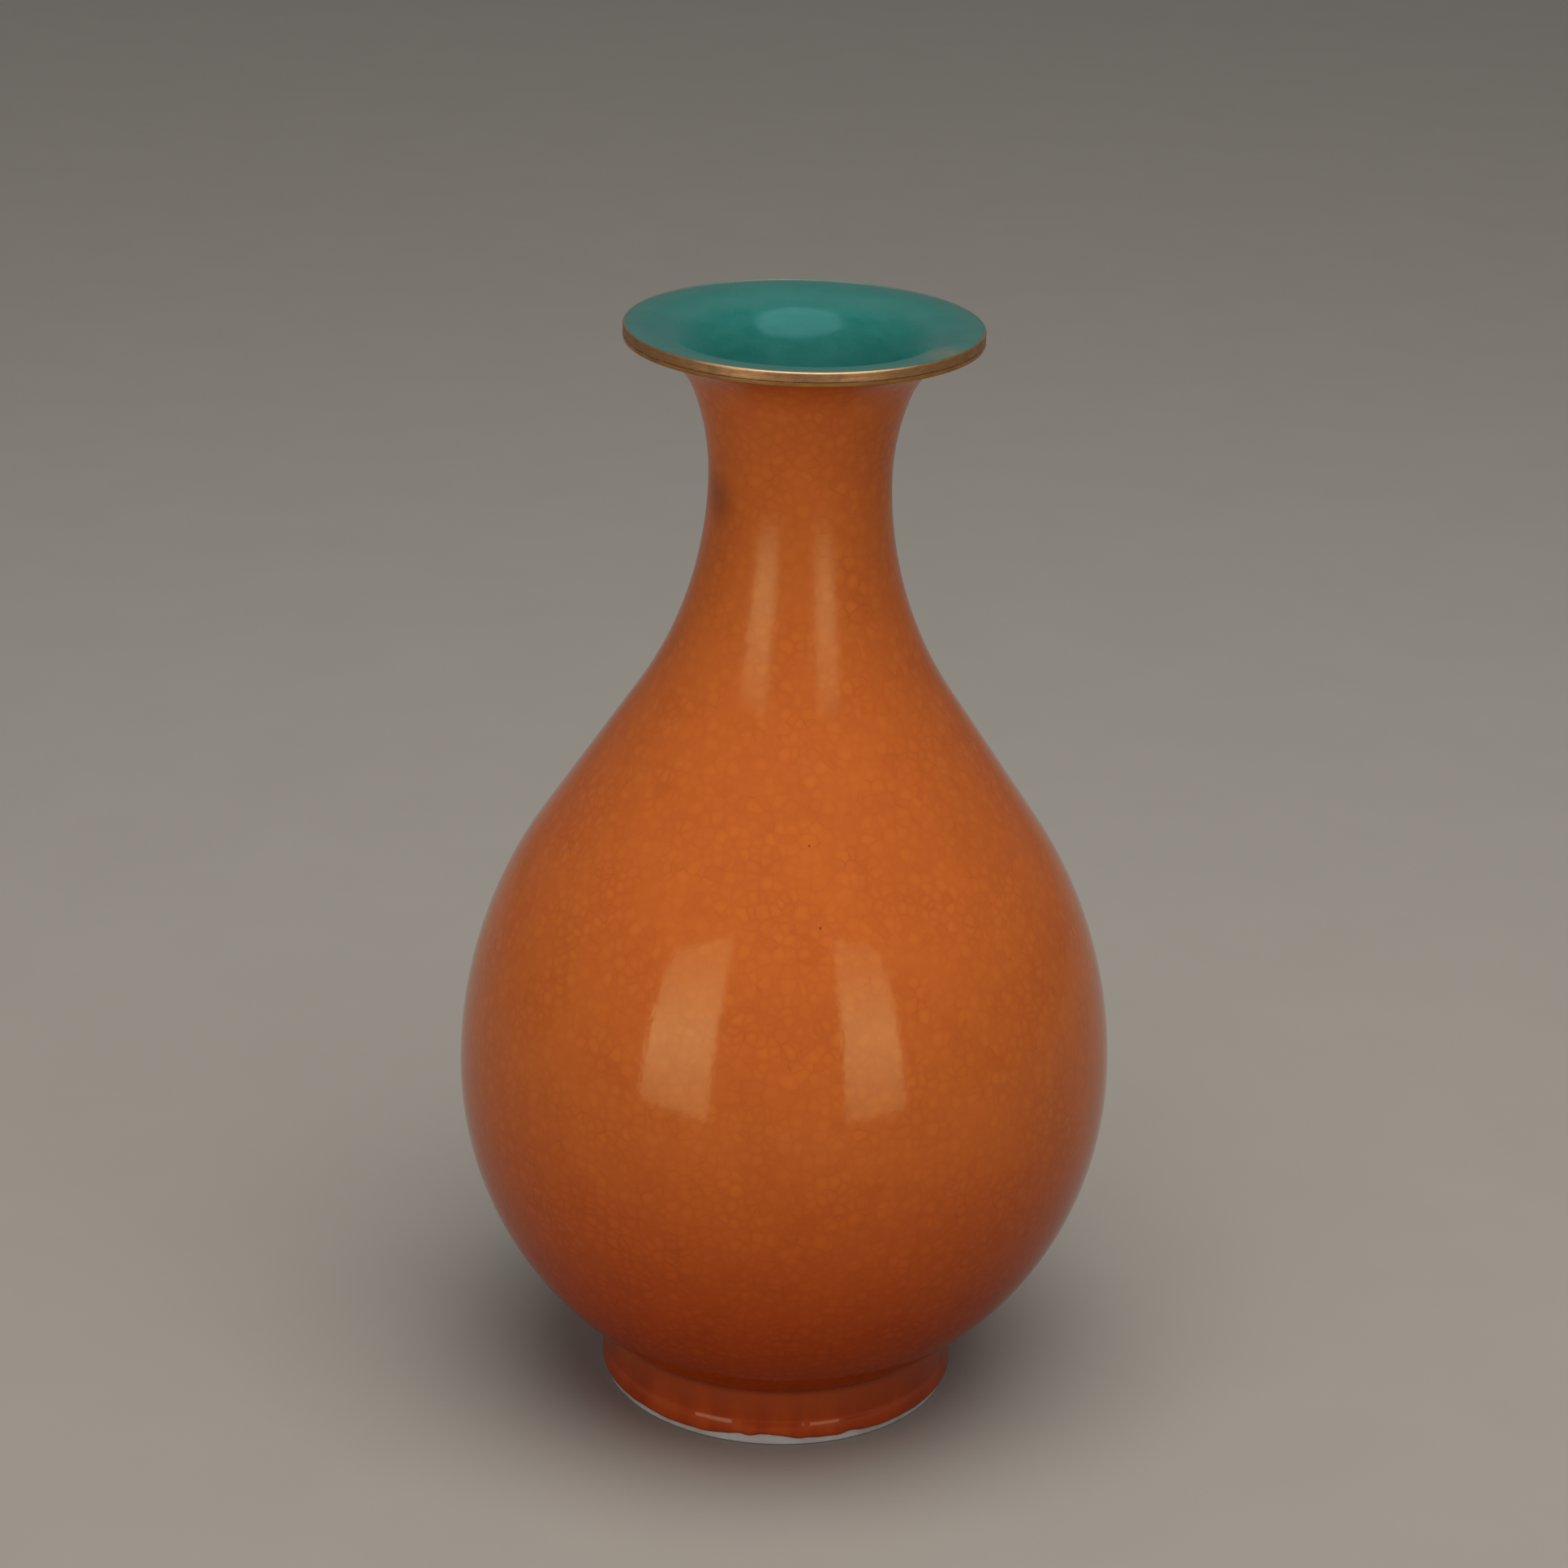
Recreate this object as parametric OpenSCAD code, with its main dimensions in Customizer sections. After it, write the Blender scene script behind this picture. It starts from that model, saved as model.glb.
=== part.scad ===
// Pear-shaped porcelain vase with a trumpet mouth.
// Thrown in sections that are luted together with slip, then glazed and gilded.
// Millimetres. The axis of the vase is Z, and it stands on Z = 0.

/* [Overall] */
// Height from the resting face to the top of the lip
height = 230; // [205:1:260]

/* [Foot] */
// Diameter over the roll of glaze round the foot
foot_d = 74.8; // [66:0.2:86]
// Height of the crease where the belly meets the foot
foot_h = 13; // [10:0.5:18]
// Width of the ring that the vase stands on
foot_ring_w = 5.4; // [4:0.1:8]
// Radius of the rounded edges of the ring
foot_round = 0.5; // [0.3:0.1:0.8]
// Height of the bare rim below the glaze
bare_h = 1.2; // [0.8:0.1:3]
// Thickness of the glaze on the foot wall
foot_glaze_t = 0.5; // [0.3:0.05:0.9]
// How far the roll of glaze stands out from the foot wall
roll_out = 0.3; // [0.2:0.05:1]
// Radius of the roll of glaze
roll_r = 4.2; // [3:0.1:6]
// Height of the roll's widest line
roll_h = 4.6; // [3.6:0.1:6.5]
// Radius of the glaze that pools in the crease
pool_r = 2.5; // [1:0.1:4]
// Radius of the glaze that pools round the recess
base_pool_r = 1.2; // [0.6:0.1:2]

/* [Belly] */
// Largest diameter
belly_d = 135.3; // [115:0.5:155]
// Height of the largest diameter
belly_h = 71.8; // [60:0.5:85]

/* [Shoulder] */
// Slope of the straight shoulder, against the slope of a line from the neck to the belly
shoulder_pitch = 1.6; // [1.2:0.02:1.9]
// Share of the turning radii that the belly takes, the neck having the rest
belly_share = 0.53; // [0.3:0.01:0.7]

/* [Neck and lip] */
// Smallest diameter
neck_d = 36.5; // [32:0.1:42]
// Height of the lip's underside above the smallest diameter
flare_h = 28; // [22:0.5:36]
// Angle that the neck turns outward before the lip's tighter curve begins
neck_turn = 21; // [12:1:30]
// Angle that the lip's curve has turned outward at its edge
lip_turn = 86; // [76:1:88]
// Diameter of the lip
lip_d = 71; // [62:0.5:80]
// Thickness of the lip at its edge
lip_t = 2.85; // [2.2:0.05:3.6]
// Width of the level land on top of the lip
lip_land = 3.5; // [1:0.1:5]
// Radius of the lip's rounded edges
lip_round = 0.4; // [0.2:0.05:0.6]

/* [Walls and coats] */
// Thickness of the fired clay wall
wall_t = 2.8; // [2:0.1:4]
// Thickness of the floor
floor_t = 4; // [2.5:0.1:6]
// Thickness of the slip in each luted joint
lute_t = 0.6; // [0.4:0.05:1]
// Thickness of the outer glaze
glaze_t = 0.45; // [0.3:0.05:0.7]
// Thickness of the glaze inside the vase
lining_t = 0.35; // [0.25:0.05:0.6]
// Thickness of the glaze under the foot
base_t = 0.35; // [0.25:0.05:0.6]
// Thickness of the gilding and of the line below it
gilt_t = 0.2; // [0.1:0.05:0.3]
// Height of the gilded band
gilt_h = 2.05; // [1.4:0.05:2.1]
// Width of the gilding on top of the lip
gilt_w = 0.4; // [0.3:0.05:1.5]
// Width of the bare glaze line under the lip
line_w = 1.2; // [0.6:0.1:2]

/* [Hidden] */
$fa = 2;
$fs = 0.3;

// Radii at the stations of the outline
belly_r = belly_d / 2;
neck_r = neck_d / 2;
lip_r = lip_d / 2;
foot_wall_r = foot_d / 2 - roll_out;
foot_clay_r = foot_wall_r - foot_glaze_t;
recess_r = foot_clay_r - foot_ring_w;

// Depths under the outer surface
clay_in = glaze_t + wall_t;
full_t = clay_in + lining_t;

// Height of the smallest diameter, and the lip's underside
lip_z = height - lip_t;
neck_z = lip_z - flare_h;

// Lower belly, one arc from the crease to the largest diameter
low_in = belly_r - foot_wall_r;
low_up = belly_h - foot_h;
low_r = (pow(low_in, 2) + pow(low_up, 2)) / (2 * low_in);
low_c = [belly_r - low_r, belly_h];

// Shoulder, two arcs that share a straight tangent at an angle from the axis
run_in = belly_r - neck_r;
run_up = neck_z - belly_h;
slope = shoulder_pitch * atan2(run_in, run_up);
turn_r = (run_up * sin(slope) - run_in * cos(slope)) / (1 - cos(slope));
high_r = turn_r * belly_share;
high_c = [belly_r - high_r, belly_h];
throat_r = turn_r - high_r;
throat_c = [neck_r + throat_r, neck_z];

// Luted joints lie square to the wall: a point, and the wall's angle there
belly_joint = [belly_r, belly_h, 0];
neck_joint = [throat_c.x - throat_r * cos(slope), throat_c.y - throat_r * sin(slope), slope];

// Height of the floor's two faces: the lower face just spans the foot ring's bore
floor_under = belly_h - sqrt(pow(low_r - glaze_t, 2) - pow(recess_r - low_c.x, 2));
floor_top = floor_under + floor_t;

// How far each stretch of the outline runs on behind the next, tighter one
lap = 1;
// How far the edge of pooled glaze dips into the faces that it runs out on
dip = 0.02;
// How far a cut runs past the faces that it takes away
spare = 1;

// Centre of the pool's hollow in the crease, which touches the foot wall and the belly
pool_x = foot_wall_r + pool_r - dip;
pool_c = [pool_x, belly_h - sqrt(pow(low_r + pool_r - dip, 2) - pow(pool_x - low_c.x, 2))];

// The lip's edges are no rounder than the gilding can cover
lip_edge_r = min(lip_round, 3 * gilt_t);
line_edge_r = min(lip_edge_r, lip_t - gilt_h);

// Larger than anything in the section
reach = height + belly_d;

// Edge of the lip at a depth under the outer surface
function lip_edge(d) = [lip_r - lip_land * d / full_t, lip_z + (lip_t - gilt_t) * d / full_t];

// Radii of the neck's upper arc and the lip's arc at a depth, so that they end at the lip's edge
function flare(d) =
    let (
        out = lip_edge(d).x - neck_r + d,
        up = lip_edge(d).y - neck_z,
        rise = sin(lip_turn) - sin(neck_turn),
        spread = cos(neck_turn) - cos(lip_turn),
        det = rise - sin(lip_turn - neck_turn)
    )
    [(out * rise - up * spread) / det, (up * (1 - cos(neck_turn)) - out * sin(neck_turn)) / det];

// Part of the half section between two heights and inside a radius
module band(z0, z1, r = reach) {
    translate([0, z0])
        square([r, z1 - z0]);
}

// Half section inside a convex arc, between two heights
module swell(centre, r, z0, z1) {
    intersection() {
        translate(centre)
            circle(r);
        band(z0, z1);
    }
}

// Half section inside a hollow arc, between two heights
module hollow(centre, r, z0, z1, limit) {
    difference() {
        band(z0, z1, limit);
        translate(centre)
            circle(r);
    }
}

// Half section of all that lies deeper than d under the outer surface, between two heights
module inside(d, from = 0, to = height) {
    radii = flare(d);
    edge = lip_edge(d);
    high_end = [high_c.x + (high_r - d) * cos(slope), high_c.y + (high_r - d) * sin(slope)];
    throat_end = [throat_c.x - (throat_r + d) * cos(slope), throat_c.y - (throat_r + d) * sin(slope)];
    cone_end = throat_end + lap * [-tan(slope), 1];
    neck_c = [neck_r - d + radii[0], neck_z];
    neck_end = neck_z + radii[0] * sin(neck_turn);
    lip_c = neck_c + (radii[0] - radii[1]) * [-cos(neck_turn), sin(neck_turn)];

    intersection() {
        union() {
            swell(low_c, low_r - d, 0, belly_h + lap);
            swell(high_c, high_r - d, belly_h, high_end.y + lap);
            polygon([[0, high_end.y], high_end, cone_end, [0, cone_end.y]]);
            hollow(throat_c, throat_r + d, throat_end.y, neck_z + lap, throat_c.x);
            hollow(neck_c, radii[0], neck_z, neck_end + lap, neck_c.x);
            hollow(lip_c, radii[1], neck_end, edge.y + lap, edge.x);
            band(edge.y, 2 * reach);
        }
        band(from, to);
    }
}

// Half section between two depths
module coat(d0, d1) {
    difference() {
        inside(d0);
        inside(d1, 0, reach);
    }
}

// Half section round the mouth, from a distance inside the lip's edge outward
module rim_zone(w) {
    translate([lip_r - w, neck_z])
        square(reach);
}

// Half section of the whole clay body above the foot ring
module clay() {
    difference() {
        inside(glaze_t, floor_under);
        inside(clay_in, floor_top, reach);
        rim_zone(gilt_t);
    }
}

// Half plane above a joint, starting a distance up the wall from it
module above(joint, from) {
    translate([joint.x, joint.y])
        rotate(joint.z)
            translate([-reach, from])
                square([2 * reach, reach]);
}

// Half section of the slip in a joint
module lute(joint) {
    difference() {
        intersection() {
            clay();
            above(joint, -lute_t / 2);
        }
        above(joint, lute_t / 2);
    }
}

// Corner of a section that a rounded edge takes away: out is 1 for an outer edge and -1 for an inner one,
// up is 1 for an upper edge and -1 for a lower one
module edge_cut(r, out, up) {
    mirror([out < 0 ? 1 : 0, 0])
        mirror([0, up < 0 ? 1 : 0])
            difference() {
                translate([-r, -r])
                    square(r + spare);
                translate([-r, -r])
                    circle(r);
            }
}

// Glaze that fills a corner up to a hollow round
module pool(corner, centre, r) {
    difference() {
        polygon(corner);
        translate(centre)
            circle(r);
    }
}

// Turned ring under the belly, bare at its lower rim
module foot_ring() {
    color("ivory")
        rotate_extrude()
            difference() {
                translate([recess_r, 0])
                    square([foot_ring_w, foot_h]);
                inside(glaze_t - lute_t);
                translate([foot_clay_r, 0])
                    edge_cut(foot_round, 1, -1);
                translate([recess_r, 0])
                    edge_cut(foot_round, -1, -1);
            }
}

// Slip between the foot ring and the underside of the belly
module foot_lute() {
    color("linen")
        rotate_extrude()
            intersection() {
                coat(glaze_t - lute_t, glaze_t);
                translate([recess_r, 0])
                    square([foot_ring_w, foot_h]);
            }
}

// Bowl of the belly, with the floor
module lower_body() {
    color("whitesmoke")
        rotate_extrude()
            difference() {
                clay();
                above(belly_joint, -lute_t / 2);
            }
}

// Slip round the largest diameter
module belly_lute() {
    color("linen")
        rotate_extrude()
            lute(belly_joint);
}

// Shoulder from the largest diameter to the foot of the neck
module upper_body() {
    color("whitesmoke")
        rotate_extrude()
            difference() {
                intersection() {
                    clay();
                    above(belly_joint, lute_t / 2);
                }
                above(neck_joint, -lute_t / 2);
            }
}

// Slip round the foot of the neck
module neck_lute() {
    color("linen")
        rotate_extrude()
            lute(neck_joint);
}

// Neck with the flared mouth
module neck() {
    color("whitesmoke")
        rotate_extrude()
            intersection() {
                clay();
                above(neck_joint, lute_t / 2);
            }
}

// Orange crackled glaze from the crease to the lip's underside
module outer_glaze() {
    color([0.78, 0.36, 0.12])
        rotate_extrude()
            difference() {
                coat(0, glaze_t);
                band(0, foot_h, foot_clay_r);
                rim_zone(line_w);
            }
}

// Redder glaze on the foot wall, run into a roll above the bare rim and pooled in the crease
module foot_glaze() {
    under_skin = pool_c + (low_c - pool_c) * (pool_r + lap) / norm(low_c - pool_c);
    color([0.74, 0.27, 0.07])
        rotate_extrude()
            difference() {
                union() {
                    band(bare_h, foot_h, foot_wall_r);
                    swell([foot_d / 2 - roll_r, roll_h], roll_r, bare_h, foot_h);
                    pool([[foot_clay_r, pool_c.y], pool_c, under_skin, [foot_clay_r, foot_h]], pool_c, pool_r);
                }
                band(0, foot_h, foot_clay_r);
                inside(0);
            }
}

// Turquoise glaze lining the inside, from the floor to the land of the lip
module inner_glaze() {
    color([0.16, 0.52, 0.46])
        rotate_extrude()
            difference() {
                inside(clay_in, floor_top);
                inside(full_t, floor_top + lining_t, reach);
                rim_zone(gilt_t);
            }
}

// Turquoise glaze in the recess under the foot, pooled round its edge
module base_glaze() {
    face = [recess_r - base_t, floor_under - base_t];
    hollow_c = face - (base_pool_r - dip) * [1, 1];
    corner = [recess_r, floor_under];
    color([0.16, 0.52, 0.46])
        rotate_extrude() {
            difference() {
                band(bare_h, floor_under, recess_r);
                band(0, face.y, face.x);
            }
            pool([hollow_c, [corner.x, hollow_c.y], corner, [hollow_c.x, corner.y]], hollow_c, base_pool_r);
        }
}

// Thin yellow edge of the glaze under the gilding
module lip_line() {
    color([0.55, 0.36, 0.05])
        rotate_extrude() {
            difference() {
                translate([lip_r - gilt_t, lip_z])
                    square([gilt_t, lip_t - gilt_h]);
                translate([lip_r, lip_z])
                    edge_cut(line_edge_r, 1, -1);
            }
            difference() {
                intersection() {
                    coat(0, glaze_t);
                    rim_zone(line_w);
                }
                rim_zone(gilt_t);
            }
        }
}

// Gilding round the edge of the lip and over its top
module gilt_rim() {
    color([0.62, 0.42, 0.22])
        rotate_extrude()
            difference() {
                union() {
                    translate([lip_r - gilt_t, height - gilt_h])
                        square([gilt_t, gilt_h]);
                    translate([lip_r - gilt_w, height - gilt_t])
                        square([gilt_w, gilt_t]);
                }
                translate([lip_r, height])
                    edge_cut(lip_edge_r, 1, 1);
            }
}

foot_ring();
foot_lute();
lower_body();
belly_lute();
upper_body();
neck_lute();
neck();
outer_glaze();
foot_glaze();
inner_glaze();
base_glaze();
lip_line();
gilt_rim();
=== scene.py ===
import math

import bpy
from mathutils import Matrix


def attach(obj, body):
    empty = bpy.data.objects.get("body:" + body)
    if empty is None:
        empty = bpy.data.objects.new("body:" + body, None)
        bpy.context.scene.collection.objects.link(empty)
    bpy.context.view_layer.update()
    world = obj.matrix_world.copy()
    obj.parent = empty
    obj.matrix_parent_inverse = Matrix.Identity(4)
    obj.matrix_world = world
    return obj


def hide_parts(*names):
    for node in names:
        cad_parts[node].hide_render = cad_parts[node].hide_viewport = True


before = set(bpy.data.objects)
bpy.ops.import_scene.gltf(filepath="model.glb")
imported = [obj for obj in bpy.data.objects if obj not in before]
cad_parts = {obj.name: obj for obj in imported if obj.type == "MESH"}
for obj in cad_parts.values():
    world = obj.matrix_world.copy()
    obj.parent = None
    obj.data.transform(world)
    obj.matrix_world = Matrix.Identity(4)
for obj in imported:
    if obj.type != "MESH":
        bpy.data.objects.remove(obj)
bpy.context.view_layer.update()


# Foot ring: a turned ring of white porcelain under the belly, which the vase stands on. Its wall is
# glazed, and the lower rim is wiped bare before firing so that it doesn't stick to the kiln shelf.
mm = 0.001
turn_steps = 240
weld = 0.002
belly_r = 67.65
belly_h = 71.8
crease_r = 37.1
crease_h = 13
foot_clay_r = 36.6
foot_ring_w = 5.4
foot_round = 0.5
slip_over = 0.15
top_steps = 3
recess_r = foot_clay_r - foot_ring_w
low_in = belly_r - crease_r
low_r = (low_in ** 2 + (belly_h - crease_h) ** 2) / (2 * low_in)
low_centre = (belly_r - low_r, belly_h)


def under_belly(r, depth=0):
    """Height of the belly's underside at a radius, at a depth under the glazed surface."""
    return low_centre[1] - math.sqrt((low_r - depth) ** 2 - (r - low_centre[0]) ** 2)


def sweep(centre, r, start, end, count):
    """Points along an arc in the half section, from one angle to another, in degrees."""
    angles = [math.radians(start + (end - start) * i / count) for i in range(count + 1)]
    return [(centre[0] + r * math.cos(a), centre[1] + r * math.sin(a)) for a in angles]


def turned(name, section, sharp=40):
    """A piece turned on the wheel: one point is drawn along the half section and spun round the axis."""
    bpy.ops.object.select_all(action="DESELECT")
    bpy.ops.mesh.primitive_plane_add(size=1 * mm)
    piece = bpy.context.object
    piece.name = piece.data.name = name
    bpy.ops.object.mode_set(mode="EDIT")
    bpy.ops.mesh.select_all(action="SELECT")
    bpy.ops.mesh.merge(type="CENTER")
    r, z = section[0]
    bpy.ops.transform.translate(value=(r * mm, 0, z * mm))
    for next_r, next_z in section[1:] + section[:1]:
        step = ((next_r - r) * mm, 0, (next_z - z) * mm)
        bpy.ops.mesh.extrude_vertices_move(TRANSFORM_OT_translate={"value": step})
        r, z = next_r, next_z
    bpy.ops.mesh.select_all(action="SELECT")
    bpy.ops.mesh.remove_doubles(threshold=weld * mm)
    bpy.ops.mesh.spin(steps=turn_steps, angle=math.tau, center=(0, 0, 0), axis=(0, 0, 1))
    bpy.ops.mesh.select_all(action="SELECT")
    bpy.ops.mesh.remove_doubles(threshold=weld * mm)
    bpy.ops.mesh.normals_make_consistent(inside=False)
    bpy.ops.object.mode_set(mode="OBJECT")
    bpy.ops.object.shade_smooth_by_angle(angle=math.radians(sharp))
    return piece


def surface(name):
    """A new finish, with its node tree and its surface shader."""
    finish = bpy.data.materials.new(name)
    finish.use_nodes = True
    return finish, finish.node_tree, finish.node_tree.nodes["Principled BSDF"]


def node(tree, kind, inputs, **settings):
    """Adds a shader node. Each input is a plain value or another node's output."""
    made = tree.nodes.new(kind)
    for name, value in settings.items():
        setattr(made, name, value)
    for key, value in inputs.items():
        if isinstance(value, bpy.types.NodeSocket):
            tree.links.new(value, made.inputs[key])
        else:
            made.inputs[key].default_value = value
    return made


def place(tree, stretch=(1, 1, 1)):
    """Where a point lies on the vase, with the pattern stretched along some axes."""
    spot = node(tree, "ShaderNodeTexCoord", {}).outputs["Object"]
    return node(tree, "ShaderNodeMapping", {"Vector": spot, "Scale": stretch}).outputs["Vector"]


def cloud(tree, where, per_metre, detail=2.0, roughness=0.5):
    """Soft noise from 0 to 1."""
    inputs = {"Vector": where, "Scale": per_metre, "Detail": detail, "Roughness": roughness}
    return node(tree, "ShaderNodeTexNoise", inputs).outputs["Fac"]


def ease(tree, value, low, high, to_low=0.0, to_high=1.0):
    """Takes a value's range from low to high smoothly to another range."""
    inputs = {"Value": value, "From Min": low, "From Max": high, "To Min": to_low, "To Max": to_high}
    return node(tree, "ShaderNodeMapRange", inputs, interpolation_type="SMOOTHSTEP").outputs["Result"]


def reckon(tree, kind, *values):
    """Works out a sum of values, such as ADD or MULTIPLY."""
    return node(tree, "ShaderNodeMath", dict(enumerate(values)), operation=kind).outputs[0]


def tint(tree, share, first, second, kind="MIX"):
    """Mixes two colours; share is how much of the second one shows."""
    made = node(tree, "ShaderNodeMix", {0: share, 6: first, 7: second}, data_type="RGBA", blend_type=kind)
    return made.outputs[2]


def rgb(red, green, blue):
    """A colour given in the usual 0 to 255 steps, as the shader wants it."""
    shares = [c / 255 for c in (red, green, blue)]
    linear = [((s + 0.055) / 1.055) ** 2.4 if s > 0.04 else s / 12.92 for s in shares]
    return (*linear, 1)


def coat(tree, shader, colour, roughness, relief, strength, depth):
    """Gives a finish its colour, its roughness and a fine relief of a depth in mm."""
    bump = node(tree, "ShaderNodeBump", {"Height": relief, "Strength": strength, "Distance": depth * mm})
    tree.links.new(colour, shader.inputs["Base Color"])
    tree.links.new(roughness, shader.inputs["Roughness"])
    tree.links.new(bump.outputs["Normal"], shader.inputs["Normal"])


def dress(piece, finish, slot, *nodes):
    """Gives a piece its finish, fixes it to the vase and puts it in place of its construction nodes."""
    piece.data.materials.clear()
    piece.data.materials.append(finish)
    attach(piece, "root")
    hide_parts(*nodes)


# The last arc stops just short of the flat, where the section starts.
ring_tops = [foot_clay_r - foot_ring_w * i / top_steps for i in range(top_steps + 1)]
ring_section = (
    [(recess_r + foot_round, 0)]
    + sweep((foot_clay_r - foot_round, foot_round), foot_round, -90, 0, 6)
    + [(r, under_belly(r, -slip_over)) for r in ring_tops]
    + sweep((recess_r + foot_round, foot_round), foot_round, 180, 264, 6)
)
foot_ring = turned("foot_ring_bare", ring_section)

bare, tree, shader = surface("bare_porcelain")
where = place(tree)
grain = cloud(tree, where, 900, 4, 0.6)
rings = cloud(tree, place(tree, (0.15, 0.15, 1)), 1400, 2)
stain = ease(tree, cloud(tree, where, 130, 3), 0.42, 0.75)
clay = tint(tree, grain, rgb(176, 166, 159), rgb(197, 188, 181))
clay = tint(tree, stain, clay, rgb(168, 146, 130))
matt = ease(tree, grain, 0.3, 0.7, 0.68, 0.82)
shader.inputs["Specular IOR Level"].default_value = 0.3
coat(tree, shader, clay, matt, reckon(tree, "ADD", grain, rings), 0.5, 0.08)
dress(foot_ring, bare, "bare_porcelain", "foot_ring")


# Clay body and its joints: the bowl, the shoulder and the neck are thrown apart from the same white
# porcelain, and luted with slip at the foot, the largest diameter and the foot of the neck. Glaze
# covers all of them, so the construction's own solids stay, with a matt clay finish.
for slot, pale, dark, members in (
    ("porcelain", rgb(222, 219, 212), rgb(206, 200, 190), ("lower_body", "upper_body", "neck")),
    ("slip", rgb(214, 208, 198), rgb(194, 186, 174), ("foot_lute", "belly_lute", "neck_lute")),
):
    clay_finish, tree, shader = surface(slot)
    grain = cloud(tree, place(tree), 700, 4, 0.6)
    clay = tint(tree, grain, pale, dark)
    coat(tree, shader, clay, ease(tree, grain, 0.3, 0.7, 0.6, 0.8), grain, 0.3, 0.05)
    for member in members:
        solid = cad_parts[member]
        solid.data.materials.clear()
        solid.data.materials.append(clay_finish)


# Inner glaze: turquoise glaze, swilled round inside the vase and over the land of the lip. It is thin
# and satin, with a fine speckle. It is paler where it runs thin near the lip. A paler ring where the
# flare bends and a brown patch near the lip at the front right are painted reflections.
height = 230
lip_r = 35.5
lip_t = 2.85
lip_land = 3.5
flare_h = 28
neck_r = 18.25
neck_turn = 21
lip_turn = 86
shoulder_pitch = 1.6
belly_share = 0.53
glaze_t = 0.45
wall_t = 2.8
lining_t = 0.35
floor_t = 4
gilt_t = 0.2
clay_in = glaze_t + wall_t
full_t = clay_in + lining_t
floor_under = under_belly(recess_r, glaze_t)
floor_top = floor_under + floor_t
lip_z = height - lip_t
neck_z = lip_z - flare_h

# The shoulder is two arcs that share a straight tangent.
run_in = belly_r - neck_r
run_up = neck_z - belly_h
tilt = shoulder_pitch * math.atan2(run_in, run_up)
slope = math.degrees(tilt)
both_r = (run_up * math.sin(tilt) - run_in * math.cos(tilt)) / (1 - math.cos(tilt))
high_r = both_r * belly_share
high_centre = (belly_r - high_r, belly_h)
throat_r = both_r - high_r
throat_centre = (neck_r + throat_r, neck_z)


def lip_edge(depth):
    """Edge of the lip at a depth under the glazed surface."""
    share = depth / full_t
    return lip_r - lip_land * share, lip_z + (lip_t - gilt_t) * share


def outline(depth, low, fine=1):
    """The vase's outline at a depth under the glazed surface, from a height up to the edge of the lip.
    The neck's two arcs share a tangent too, and end at the edge of the lip."""
    turn, curl = math.radians(neck_turn), math.radians(lip_turn)
    edge_r, edge_z = lip_edge(depth)
    out, up = edge_r - neck_r + depth, edge_z - neck_z
    rise, spread = math.sin(curl) - math.sin(turn), math.cos(turn) - math.cos(curl)
    det = rise - math.sin(curl - turn)
    neck_arc = (out * rise - up * spread) / det
    lip_arc = (up * (1 - math.cos(turn)) - out * math.sin(turn)) / det
    neck_centre = (neck_r - depth + neck_arc, neck_z)
    step = neck_arc - lip_arc
    lip_centre = (neck_centre[0] - step * math.cos(turn), neck_z + step * math.sin(turn))
    start = math.degrees(math.asin((low - low_centre[1]) / (low_r - depth)))
    line = sweep(low_centre, low_r - depth, start, 0, int(36 * fine))
    line += sweep(high_centre, high_r - depth, 0, slope, int(24 * fine))[1:]
    throat = sweep(throat_centre, throat_r + depth, 180 + slope, 180, int(24 * fine))
    (r0, z0), (r1, z1) = line[-1], throat[0]
    straight = int(10 * fine)
    line += [(r0 + (r1 - r0) * i / straight, z0 + (z1 - z0) * i / straight) for i in range(1, straight)]
    line += throat
    line += sweep(neck_centre, neck_arc, 180, 180 - neck_turn, int(12 * fine))[1:]
    line += sweep(lip_centre, lip_arc, 180 - neck_turn, 180 - lip_turn, int(22 * fine))[1:]
    return line


floor_rings = (0, 8, 16, 22)
corner_h = 2.2
corner_w = 3
corner_curve = 1.5
lining_wall = outline(full_t, floor_top + corner_h)
corner_r, corner_z = lining_wall[0]
floor_z = floor_top + lining_t
floor_corner = [
    (corner_r - corner_w * s, floor_z + (corner_z - floor_z) * (1 - s) ** corner_curve)
    for s in (1, 0.75, 0.5, 0.25)
]

swell_h = 0.08
swell_from = 0.35
swell_at = 1
swell_to = 1.8
land_z = height - gilt_t
land_in = lip_r - lip_land
land_edge = lip_r - gilt_t
land = [
    (land_in + swell_from, land_z + swell_h / 2),
    (land_in + swell_at, land_z + swell_h),
    (land_in + swell_to, land_z),
    (land_edge, land_z),
]

seat_h = 0.3
seat_r = 20
lining_section = (
    [(r, floor_z) for r in floor_rings]
    + floor_corner
    + lining_wall[:-1]
    + land
    + outline(clay_in, floor_top + seat_h, 0.4)[::-1]
    + [(seat_r, floor_top), (0, floor_top)]
)
lining = turned("inner_glaze_lining", lining_section)

bend_r = 26.5
# Place of a painted reflection: a brown patch on the inner glaze near the lip, at the front right.
brown_reflection_r = 31
brown_reflection_turn = math.radians(56)
brown_reflection_place = (brown_reflection_r * mm * math.sin(brown_reflection_turn), -brown_reflection_r * mm * math.cos(brown_reflection_turn), lip_z * mm)


def away(tree, where, spot):
    """Distance of a point on the vase from a spot."""
    return node(tree, "ShaderNodeVectorMath", {0: where, 1: spot}, operation="DISTANCE").outputs["Value"]


def from_axis(tree):
    """Distance of a point on the vase from its axis."""
    flat = place(tree, (1, 1, 0))
    return node(tree, "ShaderNodeVectorMath", {0: flat}, operation="LENGTH").outputs["Value"]


def span(tree, length, low, high, to_low=0.0, to_high=1.0):
    """As ease, for a length on the vase, with low and high in mm."""
    return ease(tree, length, low * mm, high * mm, to_low, to_high)


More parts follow.
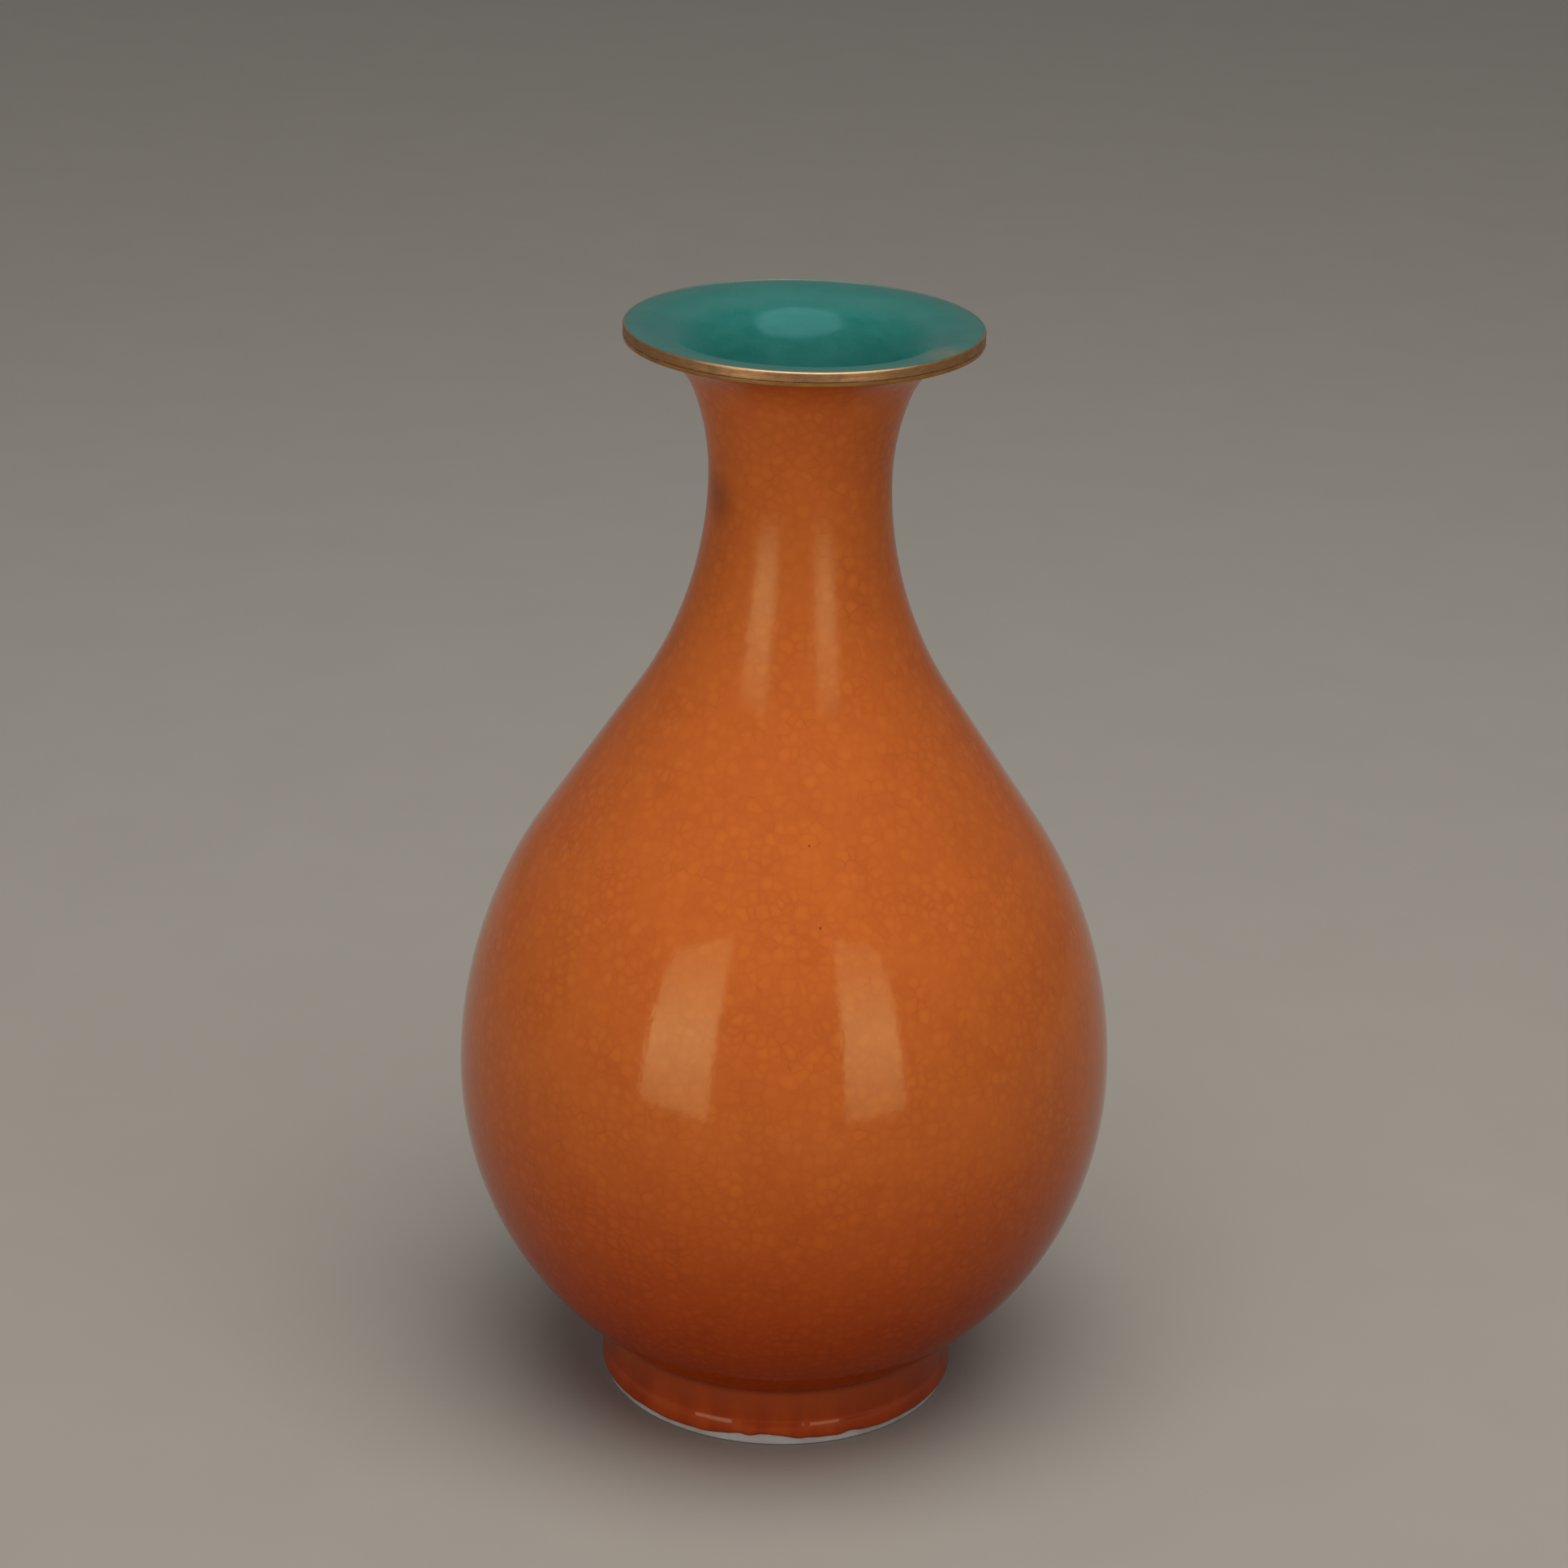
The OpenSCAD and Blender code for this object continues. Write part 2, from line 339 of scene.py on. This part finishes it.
turquoise, tree, shader = surface("turquoise_glaze")
where = place(tree)
radius = from_axis(tree)
speckle = cloud(tree, where, 1500, 3, 0.6)
streak = cloud(tree, place(tree, (1, 1, 3)), 160, 4, 0.55)
pool = cloud(tree, where, 45, 2)
glaze = tint(tree, ease(tree, streak, 0.3, 0.7), rgb(38, 112, 101), rgb(48, 119, 109))
glaze = tint(tree, ease(tree, pool, 0.35, 0.65, 0, 0.5), glaze, rgb(40, 114, 103))
glaze = tint(tree, ease(tree, speckle, 0.55, 0.8, 0, 0.2), glaze, rgb(80, 136, 124))
runs_thin = span(tree, radius, 26, 34.5, 0, 0.55)
glaze = tint(tree, runs_thin, glaze, rgb(78, 114, 104))
# Painted reflection: a paler grey-blue ring where the flare bends.
from_painted_ring = reckon(tree, "ABSOLUTE", reckon(tree, "SUBTRACT", radius, bend_r * mm))
glaze = tint(tree, span(tree, from_painted_ring, 0, 4, 0.3, 0), glaze, rgb(84, 122, 116))
# Painted reflection: a brown patch near the lip at the front right.
brown_reflection = span(tree, away(tree, where, brown_reflection_place), 2, 8, 0.75, 0)
brown_reflection = reckon(tree, "MULTIPLY", brown_reflection, cloud(tree, where, 240, 4, 0.6))
glaze = tint(tree, brown_reflection, glaze, rgb(150, 122, 98))
satin = ease(tree, speckle, 0.3, 0.7, 0.13, 0.2)
satin = reckon(tree, "ADD", satin, span(tree, radius, 17, 20, 0.3, 0))
shader.inputs["Specular IOR Level"].default_value = 0.25
shader.inputs["Specular Tint"].default_value = (0.4, 0.9, 1, 1)
coat(tree, shader, glaze, satin, reckon(tree, "ADD", speckle, streak), 0.2, 0.04)
dress(lining, turquoise, "turquoise_glaze", "inner_glaze")


# Base glaze: the same turquoise in the recess under the foot, poured in and wiped off the rim. It is
# plain, with nothing written on it.
base_t = 0.35
base_pool_r = 1.2
base_rings = (0, 8, 16, 24)
bare_h = 1.2
wipe_h = 0.4
wipe_low = 0.08
base_face = floor_under - base_t
base_wall = recess_r - base_t
base_section = (
    [(r, base_face) for r in base_rings]
    + sweep((base_wall - base_pool_r, base_face - base_pool_r), base_pool_r, 90, 0, 6)
    + [(base_wall, bare_h + wipe_h), (recess_r - base_t / 2, bare_h + wipe_low)]
    + [(recess_r, bare_h), (recess_r, floor_under), (0, floor_under)]
)
base = turned("base_glaze_recess", base_section)

under, tree, shader = surface("base_glaze")
where = place(tree)
speckle = cloud(tree, where, 1300, 3, 0.6)
pool = cloud(tree, where, 60, 3)
glaze = tint(tree, pool, rgb(46, 116, 104), rgb(66, 134, 122))
glaze = tint(tree, ease(tree, speckle, 0.55, 0.8, 0, 0.35), glaze, rgb(96, 150, 138))
coat(tree, shader, glaze, ease(tree, speckle, 0.3, 0.7, 0.22, 0.34), speckle, 0.35, 0.05)
dress(base, under, "base_glaze", "base_glaze")


# Outer glaze: orange glaze over the whole outside, from the foot to the lip. It runs down as it melts,
# so it is duller low on the belly, where its cracks show more. Painted shade makes it darker low on the
# belly, and painted light makes it paler under the lip. It shrinks more than the clay as it cools, so a
# net of fine crackle runs through it.
line_w = 1.2
line_from = lip_r - line_w
outside = [p for p in outline(0, under_belly(foot_clay_r)) if p[0] < line_from or p[1] < neck_z]
behind = [p for p in outline(glaze_t, crease_h, 0.5) if p[0] < line_from or p[1] < neck_z]
outer = turned("outer_glaze_crackled", outside + behind[::-1])

crackle_per_m = 420
drift_per_m = 220
drift_size = 1.6 * mm
pinholes_per_m = 70
smoke_place = (-16 * mm, -9 * mm, 197 * mm)
# Painted shade: this colour darkens the glaze low on the belly.
painted_low_shade = (0.95, 0.5, 0.3, 1)
# Painted light: this colour makes the glaze paler under the lip.
painted_lip_light = (1.2, 1.22, 1.32, 1)


def along(tree, axis):
    """How far a point on the vase lies along an axis."""
    return node(tree, "ShaderNodeSeparateXYZ", {"Vector": place(tree)}).outputs[axis]


orange, tree, shader = surface("orange_glaze")
where = place(tree)
up = along(tree, "Z")

# The crackle: cells of glaze, pushed about a little so that the cracks between them aren't straight.
wander = {"Vector": where, "Scale": drift_per_m, "Detail": 2.0}
drift = node(tree, "ShaderNodeTexNoise", wander).outputs["Color"]
shift = {0: drift, 1: (drift_size, drift_size, drift_size), 2: where}
warped = node(tree, "ShaderNodeVectorMath", shift, operation="MULTIPLY_ADD").outputs["Vector"]
net = {"Vector": warped, "Scale": crackle_per_m, "Randomness": 0.85}
cell = node(tree, "ShaderNodeTexVoronoi", net)
to_crack = node(tree, "ShaderNodeTexVoronoi", net, feature="DISTANCE_TO_EDGE").outputs["Distance"]
fate = node(tree, "ShaderNodeSeparateColor", {"Color": cell.outputs["Color"]})
crack = ease(tree, to_crack, 0.0, 0.3, 1, 0)
hair = ease(tree, to_crack, 0.0, 0.045, 1, 0)
bloom = ease(tree, cell.outputs["Distance"], 0.1, 1.0, 1, 0)

# Its colour: a mottled orange, each cell a little lighter or darker, with brown in the cracks.
mottle = cloud(tree, where, 55, 3)
glaze = tint(tree, ease(tree, mottle, 0.3, 0.7), rgb(191, 94, 39), rgb(196, 98, 40))
glaze = tint(tree, reckon(tree, "MULTIPLY", bloom, fate.outputs["Red"]), glaze, rgb(200, 103, 41))
glaze = tint(tree, ease(tree, fate.outputs["Green"], 0.6, 1, 0, 0.2), glaze, rgb(180, 83, 32))
# Low on the belly: the cracks show more there, and the same mask carries the painted shade.
low_crackle_and_shade = span(tree, up, 18, 104, 1, 0)
open_share = ease(tree, cloud(tree, where, 90, 3), 0.38, 0.68, 0.05, 0.24)
open_share = reckon(tree, "MULTIPLY_ADD", low_crackle_and_shade, 0.14, open_share)
glaze = tint(tree, reckon(tree, "MULTIPLY", crack, open_share), glaze, rgb(166, 74, 29))
stain_share = ease(tree, cloud(tree, where, 150, 3), 0.56, 0.74, 0, 0.35)
glaze = tint(tree, reckon(tree, "MULTIPLY", hair, stain_share), glaze, rgb(134, 60, 26))
smoke = span(tree, away(tree, where, smoke_place), 1, 7, 0.45, 0)
glaze = tint(tree, smoke, glaze, rgb(112, 58, 28))
# Painted shade: the glaze is darker low on the belly.
glaze = tint(tree, low_crackle_and_shade, glaze, painted_low_shade, "MULTIPLY")
# Painted light: the glaze is paler under the lip.
glaze = tint(tree, span(tree, up, 188, 212), glaze, painted_lip_light, "MULTIPLY")
hole = node(tree, "ShaderNodeTexVoronoi", {"Vector": where, "Scale": pinholes_per_m})
pick = node(tree, "ShaderNodeSeparateColor", {"Color": hole.outputs["Color"]}).outputs["Blue"]
pin = ease(tree, hole.outputs["Distance"], 0.01, 0.024, 0.8, 0)
pin = reckon(tree, "MULTIPLY", pin, ease(tree, pick, 0.55, 0.6))
glaze = tint(tree, pin, glaze, rgb(112, 52, 26))

# Its gloss: less on the neck, and less shine low on the belly and under the lip.
fine = cloud(tree, where, 1900, 2)
gloss = ease(tree, fine, 0.3, 0.7, 0.085, 0.105)
gloss = reckon(tree, "ADD", gloss, span(tree, up, 140, 190, 0, 0.13))
shine = ease(tree, fine, 0.38, 0.66, 0.3, 0.36)
shine = reckon(tree, "MULTIPLY", shine, span(tree, up, 30, 86, 0.08, 1))
shine = reckon(tree, "MULTIPLY", shine, span(tree, up, 187, 200, 1, 0.5))
tree.links.new(shine, shader.inputs["Specular IOR Level"])
shader.inputs["Specular Tint"].default_value = (1, 0.9, 0.38, 1)
peel = reckon(tree, "MULTIPLY", cloud(tree, where, 640, 2), span(tree, up, 152, 185, 1.2, 2.5))
skin = reckon(tree, "MULTIPLY_ADD", fine, 0.08, peel)
skin = reckon(tree, "MULTIPLY_ADD", crack, -0.06, skin)
coat(tree, shader, glaze, gloss, skin, 0.35, 0.045)
dress(outer, orange, "orange_glaze", "outer_glaze")


# Foot glaze: a thicker, redder coat brushed on the foot wall. In the kiln it runs down and gathers in
# a soft roll, which stops in scallops just above the bare rim, and it pools in the crease.
foot_r = 37.45
roll_h = 2.5
roll_r = 8
wall_r = 36.8
wall_low = 2
wall_top = 10.2
wall_steps = 24
melt = 0.05
pool_r = 2.5
lap = 0.1
lap_rings = (38, 37.4, foot_clay_r)


def roll(z):
    """Radius of the glazed foot wall at a height, with the soft roll low down."""
    bulge = foot_r - roll_r + math.sqrt(max(roll_r ** 2 - (z - roll_h) ** 2, 0))
    return wall_r + melt * math.log(1 + math.exp((bulge - wall_r) / melt))


edge_out = 0.1
edge_round = 0.45
low_edge = sweep((foot_clay_r + edge_out, bare_h + edge_round), edge_round, -90, -20, 5)
wall_heights = [wall_low + (wall_top - wall_low) * i / wall_steps for i in range(wall_steps + 1)]
wall = [(roll(z), z) for z in wall_heights]
pool_centre = (wall_r + pool_r, under_belly(wall_r + pool_r, -pool_r))
toward = math.degrees(math.atan2(low_centre[1] - pool_centre[1], low_centre[0] - pool_centre[0]))
crease = sweep(pool_centre, pool_r, 180, toward, 8)
on_belly = [(r, under_belly(r, lap)) for r in lap_rings]
coat_section = [(foot_clay_r, bare_h)] + low_edge + wall + crease + on_belly
foot_coat = turned("foot_glaze_roll", coat_section)

# The scallops: the lower edge is pulled up a little at a time, all round.
edge_step = 5
edge_mean = 1.45
edge_band = 0.3
edge_near = math.cos(math.radians(0.6))
waves = ((0.07, 9, 1), (0.06, 14, 0))
arches = ((0.75, -7, 11), (0.4, 4, 16), (0.45, 25, 2.5))


def edge_height(turn):
    """Height of the glaze's lower edge at an angle from the front. A wave has a rise, a count round the
    foot and a start; an arch has a rise, a place and a half width."""
    ripple = sum(rise * math.cos(math.radians(count * turn) + start) for rise, count, start in waves)
    arch = sum(rise * math.exp(-(((turn - at) / w) ** 2)) for rise, at, w in arches)
    return edge_mean + ripple + arch


reach = 2 * foot_clay_r * math.sin(math.radians(edge_step / 2)) * mm
bpy.ops.object.select_all(action="DESELECT")
foot_coat.select_set(True)
bpy.context.view_layer.objects.active = foot_coat
for turn in range(-180, 180, edge_step):
    side = (math.sin(math.radians(turn)), -math.cos(math.radians(turn)))
    bpy.ops.object.mode_set(mode="EDIT")
    bpy.ops.mesh.select_mode(type="VERT")
    bpy.ops.mesh.select_all(action="DESELECT")
    bpy.ops.object.mode_set(mode="OBJECT")
    for point in foot_coat.data.vertices:
        x, y, z = point.co
        low_down = z < (bare_h + edge_band) * mm
        point.select = low_down and x * side[0] + y * side[1] > math.hypot(x, y) * edge_near
    bpy.ops.object.mode_set(mode="EDIT")
    bpy.ops.transform.translate(
        value=(0, 0, (edge_height(turn) - bare_h) * mm),
        use_proportional_edit=True,
        proportional_edit_falloff="SMOOTH",
        proportional_size=reach,
        use_proportional_connected=False,
    )
bpy.ops.object.mode_set(mode="OBJECT")

red, tree, shader = surface("foot_glaze")
where = place(tree)
runs = cloud(tree, place(tree, (1, 1, 0.1)), 190, 2)
brush = cloud(tree, place(tree, (1, 1, 0.25)), 700, 3)
mottle = cloud(tree, where, 160, 3)
glaze = tint(tree, ease(tree, mottle, 0.3, 0.7), rgb(165, 60, 20), rgb(175, 66, 22))
glaze = tint(tree, ease(tree, runs, 0.35, 0.65, 0, 0.6), glaze, rgb(148, 48, 18))
glaze = tint(tree, ease(tree, brush, 0.55, 0.8, 0, 0.25), glaze, rgb(178, 72, 26))
# Painted shade under the belly: the glaze turns a duller, darker red towards the crease.
glaze = tint(tree, span(tree, along(tree, "Z"), 5, 12, 0, 0.65), glaze, rgb(157, 65, 27))
shader.inputs["Specular IOR Level"].default_value = 0.48
shader.inputs["Specular Tint"].default_value = (1, 0.75, 0.45, 1)
skin = reckon(tree, "MULTIPLY_ADD", brush, 0.15, runs)
coat(tree, shader, glaze, ease(tree, mottle, 0.3, 0.7, 0.07, 0.11), skin, 0.4, 0.35)
dress(foot_coat, red, "foot_glaze", "foot_glaze")


# Yellow line: the edge of the glaze under the gilding, where it thins over the lip and shows the
# ground colour as a narrow ochre line. It is part of the glazing, not painted.
gilt_h = 2.05
gilt_low = height - gilt_h
line_round = 0.3
line_bend = 0.22
bevel_w = 0.06
bevel_h = 0.05
back_w = 1
back_h = 0.35
back_low = 0.3
lip_under = [p for p in outline(0, 60, 2) if p[0] > line_from and p[1] > neck_z]
line_section = (
    lip_under[:-1]
    + sweep((lip_r - line_round, lip_z + line_bend), line_round, -75, 0, 5)
    + [(lip_r, gilt_low - bevel_h), (lip_r - bevel_w, gilt_low), (land_edge, gilt_low)]
    + [(land_edge - back_w, lip_z + back_h), (line_from, lip_z + back_low)]
)
lip_line = turned("lip_line_yellow", line_section)

ochre, tree, shader = surface("yellow_line")
where = place(tree)
patch = cloud(tree, where, 260, 3)
glaze = tint(tree, ease(tree, patch, 0.3, 0.7), rgb(146, 98, 34), rgb(128, 80, 30))
glaze = tint(tree, ease(tree, cloud(tree, where, 900, 2), 0.55, 0.8, 0, 0.5), glaze, rgb(124, 68, 28))
coat(tree, shader, glaze, ease(tree, patch, 0.3, 0.7, 0.2, 0.32), patch, 0.3, 0.06)
dress(lip_line, ochre, "yellow_line", "lip_line")


# Gilded rim: gold brushed over the edge of the lip and a little way onto the land, fired on last. It
# is rubbed to a brown copper tone. A pale painted glint runs along its upper edge at the front, and at
# the back it has worn through to the glaze.
gilt_w = 0.4
gilt_gap = 0.02
lip_round = 0.4
low_round = 0.18
feather_w = 0.2
feather_h = 0.08
rubbed_by = 0.03
rubbed_from = 0.8
rubbed_to = 1.4
gold_sheen = 0.7
gilt_in = lip_r - gilt_w
gilt_foot = gilt_low + gilt_gap
gilt_section = (
    [(gilt_in - feather_w, land_z), (gilt_in - feather_w / 2, height - feather_h)]
    + sweep((lip_r - lip_round, height - lip_round), lip_round, 90, 0, 8)
    + [(lip_r - rubbed_by, height - rubbed_from), (lip_r - rubbed_by, height - rubbed_to)]
    + sweep((lip_r - low_round, gilt_foot + low_round), low_round, 0, -90, 5)
    + [(land_edge, gilt_foot), (land_edge, land_z)]
)
gilt = turned("gilt_rim_worn", gilt_section)

gold, tree, shader = surface("gilding")
where = place(tree)
up = along(tree, "Z")
wear = cloud(tree, where, 330, 5, 0.65)
rubs = cloud(tree, place(tree, (1, 1, 6)), 500, 3)
leaf = tint(tree, ease(tree, rubs, 0.3, 0.7), rgb(172, 128, 82), rgb(157, 113, 71))
leaf = tint(tree, ease(tree, wear, 0.5, 0.7, 0, 0.5), leaf, rgb(126, 90, 58))
# Painted shade: broken dark dashes along the lower edge, next to the yellow line.
from_low = span(tree, up, gilt_low, gilt_low + 0.35, 1, 0)
groove_shade_dashes = ease(tree, cloud(tree, where, 210, 3, 0.7), 0.5, 0.56, 1, 0)
leaf = tint(tree, reckon(tree, "MULTIPLY", from_low, groove_shade_dashes), leaf, rgb(66, 44, 30))
# Painted highlight: a pale glint along the top edge, at the front only.
glint_edge_band = span(tree, up, height - 0.4, height - 0.1)
glint_front = span(tree, along(tree, "Y"), -34, -26, 0.8, 0)
leaf = tint(tree, reckon(tree, "MULTIPLY", glint_edge_band, glint_front), leaf, rgb(240, 200, 150))
back = span(tree, along(tree, "Y"), -16, 2, 0, 0.9)
on_top = span(tree, from_axis(tree), lip_r - 0.2, lip_r - rubbed_by, 1, 0)
worn = reckon(tree, "MULTIPLY", back, on_top)
leaf = tint(tree, worn, leaf, rgb(78, 114, 104))
metal = reckon(tree, "MULTIPLY_ADD", worn, -gold_sheen, gold_sheen)
tree.links.new(metal, shader.inputs["Metallic"])
coat(tree, shader, leaf, ease(tree, wear, 0.35, 0.65, 0.38, 0.52), rubs, 0.4, 0.05)
dress(gilt, gold, "gilding", "gilt_rim")


# Table: a plain pale surface for the vase to stand on, a painted board wide enough to fill the view.
# It throws little light back under the belly.
table_r = 5
bpy.ops.object.select_all(action="DESELECT")
bpy.ops.mesh.primitive_circle_add(vertices=96, radius=table_r, fill_type="NGON")
table = bpy.context.object
table.name = "table"
pale, tree, shader = surface("table")
fleck = cloud(tree, place(tree), 30, 3)
thrown_back = node(tree, "ShaderNodeLightPath", {}).outputs["Is Diffuse Ray"]
paint = tint(tree, fleck, rgb(184, 177, 165), rgb(189, 182, 170))
tree.links.new(tint(tree, thrown_back, paint, rgb(78, 72, 66)), shader.inputs["Base Color"])
shader.inputs["Roughness"].default_value = 0.9
shader.inputs["Specular IOR Level"].default_value = 0.1
table.data.materials.append(pale)


# Lamps: a large round soft panel above and in front, and two tall soft boxes on either side of the
# camera, which show as the two upright highlights. The boxes are brightest a little below the middle
# and dimmer at both ends, and are flagged off the table.
def soft_lamp(name, radiance, shape, width, tall, spot, lean):
    """A soft lamp of a given brightness; a lean of 90 degrees faces the vase from the front."""
    bpy.ops.object.light_add(type="AREA", location=spot, rotation=(math.radians(lean), 0, 0))
    lamp = bpy.context.object
    lamp.name = name
    lamp.data.shape = shape
    lamp.data.size, lamp.data.size_y = width, tall
    area = width * tall * (math.pi / 4 if shape == "ELLIPSE" else 1)
    lamp.data.energy = radiance * math.pi * area
    lamp.visible_camera = False
    return lamp


soft_lamp(
    "soft_panel_above",
    radiance=2.9,
    shape="ELLIPSE",
    width=1.3,
    tall=1.02,
    spot=(0.12, -0.358, 1.239),
    lean=19,
)

off_table = bpy.data.collections.new("off_table")
off_table.objects.link(table)
off_table.collection_objects[0].light_linking.link_state = "EXCLUDE"
box_y = -0.75
box_top = 0.75
for name, radiance, across, width, low in (
    ("soft_box_left", 4.95, -0.59, 0.514, 0.001),
    ("soft_box_right", 4.3, 0.463, 0.37, 0.02),
):
    tall = box_top - low
    box = soft_lamp(name, radiance, "RECTANGLE", width, tall, spot=(across, box_y, low + tall / 2), lean=90)
    box.light_linking.receiver_collection = off_table
    box.data.use_nodes = True
    tree = box.data.node_tree
    face = node(tree, "ShaderNodeNewGeometry", {}).outputs["Parametric"]
    face_up = node(tree, "ShaderNodeSeparateXYZ", {"Vector": face}).outputs["Y"]
    from_below = ease(tree, face_up, 0, 0.5, 0.4, 1)
    from_above = ease(tree, face_up, 0.1, 1, 1, 0.3)
    fade = reckon(tree, "MULTIPLY", from_below, from_above)
    tree.links.new(fade, tree.nodes["Emission"].inputs["Strength"])

room = bpy.data.worlds.new("room")
room.use_nodes = True
lights_up = node(room.node_tree, "ShaderNodeLightPath", {}).outputs["Is Diffuse Ray"]
glow = tint(room.node_tree, lights_up, rgb(92, 92, 96), rgb(128, 128, 131))
room.node_tree.links.new(glow, room.node_tree.nodes["Background"].inputs["Color"])
bpy.context.scene.world = room


# Camera: a long lens a little above the lip, slightly rolled, as the vase was photographed. It looks
# at a point on the vase's axis.
aim_z = 0.1334
distance = 0.8033
lift = math.radians(21.53)
roll_over = math.radians(1.613)
bpy.ops.object.camera_add()
camera = bpy.context.object
camera.data.lens = 90.35
camera.data.sensor_width = 36
camera.data.shift_x = -0.0049
camera.matrix_world = (
    Matrix.Translation((0, -distance * math.cos(lift), aim_z + distance * math.sin(lift)))
    @ Matrix.Rotation(math.pi / 2 - lift, 4, "X")
    @ Matrix.Rotation(roll_over, 4, "Z")
)
bpy.context.scene.camera = camera
bpy.context.scene.view_settings.view_transform = "Standard"
